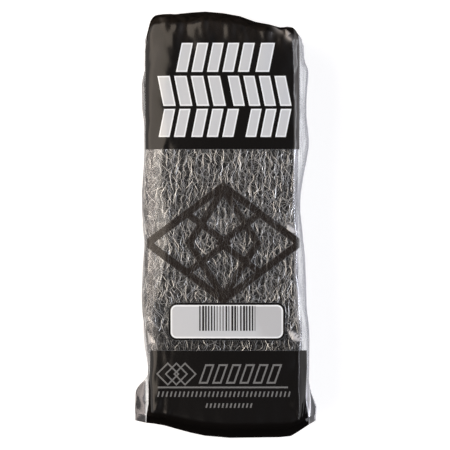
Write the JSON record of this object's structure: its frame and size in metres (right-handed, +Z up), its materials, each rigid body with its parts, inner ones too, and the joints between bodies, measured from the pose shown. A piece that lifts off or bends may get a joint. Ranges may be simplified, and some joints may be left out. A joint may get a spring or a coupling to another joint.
{
  "type": "steel wool pad pack",
  "caption": "Sealed clear film sleeve, printed black at both ends, packed with flat coarse steel wool hand pads.",
  "frame": {"origin": "on the flat back that the pack lies on, at the middle of the bounding box across and along", "axes": "+Z up out of the printed front, +Y towards the top end, +X to the right seen from the front"},
  "size_m": [0.1436, 0.3395, 0.0618],
  "materials": {
    "clear_film": "thin clear polythene film, glossy and creased, printed near-black at both ends",
    "steel_wool": "coarse bright steel fibre, mostly along the pad's length, dark between the fibres"
  },
  "bodies": {
    "root": {"film_sleeve": "clear_film", "pad_column_1_layer_1": "steel_wool", "pad_column_1_layer_2": "steel_wool", "pad_column_1_layer_3": "steel_wool", "pad_column_1_layer_4": "steel_wool", "pad_column_2_layer_1": "steel_wool", "pad_column_2_layer_2": "steel_wool", "pad_column_2_layer_3": "steel_wool", "pad_column_2_layer_4": "steel_wool", "pad_column_3_layer_1": "steel_wool", "pad_column_3_layer_2": "steel_wool", "pad_column_3_layer_3": "steel_wool", "pad_column_3_layer_4": "steel_wool", "pad_column_4_layer_1": "steel_wool", "pad_column_4_layer_2": "steel_wool", "pad_column_4_layer_3": "steel_wool", "pad_column_4_layer_4": "steel_wool"}
  },
  "joints": []
}
